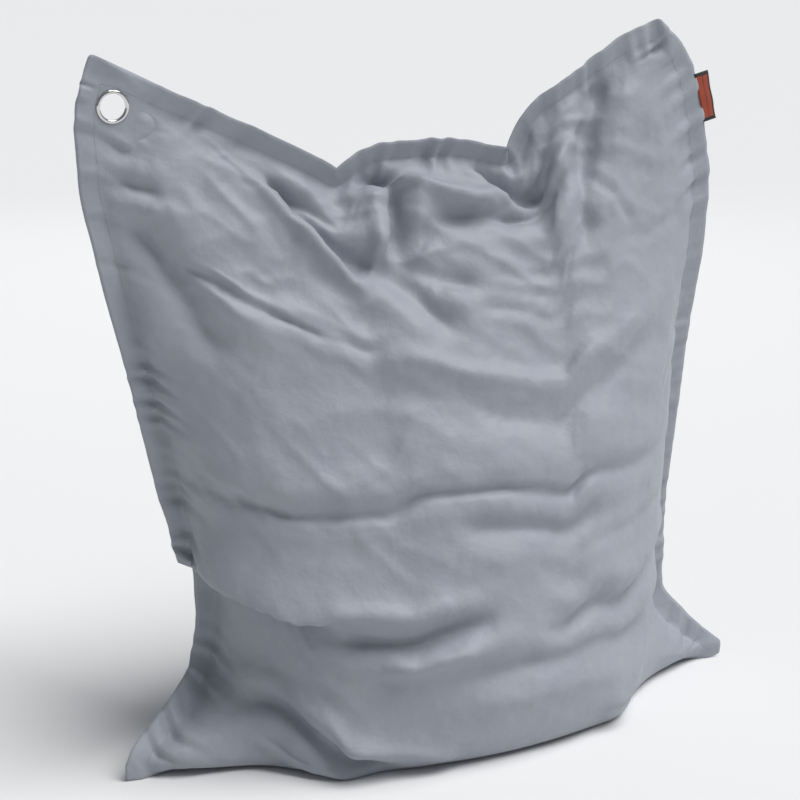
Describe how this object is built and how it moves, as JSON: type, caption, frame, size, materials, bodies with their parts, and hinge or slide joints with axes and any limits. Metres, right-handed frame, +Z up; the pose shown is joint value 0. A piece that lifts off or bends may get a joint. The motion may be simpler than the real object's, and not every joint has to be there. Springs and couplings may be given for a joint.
{
  "type": "bean bag chair",
  "caption": "Large flat floor-cushion bean bag with a flanged edge, standing upright on its short side with two corner ears, a corner eyelet and a zip across the back.",
  "frame": {"origin": "on the floor under the centre of the box round the standing bag", "axes": "+Z up, -Y the front, +X to the right of someone facing the front"},
  "size_m": [1.1543, 0.5606, 1.1642],
  "materials": {
    "cover": "satin",
    "beads": "matte",
    "eyelet": "polished",
    "label": "matte",
    "thread": "satin",
    "tape": "matte",
    "coil": "satin",
    "slider": "satin",
    "stop": "satin"
  },
  "bodies": {
    "cushion": {"front_panel": "cover", "back_panel": "cover", "bead_fill": "beads", "eyelet_barrel": "eyelet", "eyelet_washer": "eyelet", "woven_label": "label", "seam_thread_front": "thread", "seam_thread_back": "thread", "zip_tape_upper": "tape", "zip_tape_lower": "tape", "zip_coil_upper": "coil", "zip_coil_lower": "coil", "zip_stop_left": "stop", "zip_stop_right": "stop"},
    "slider": {"zip_slider": "slider", "zip_slider_bridge": "slider"}
  },
  "joints": [
    {"name": "zip_travel", "type": "hinge", "parent": "cushion", "child": "slider", "pos_m": [0, -0.212, 0.25], "axis": [0, 0, -1], "range_deg": [0, 68.7]}
  ]
}
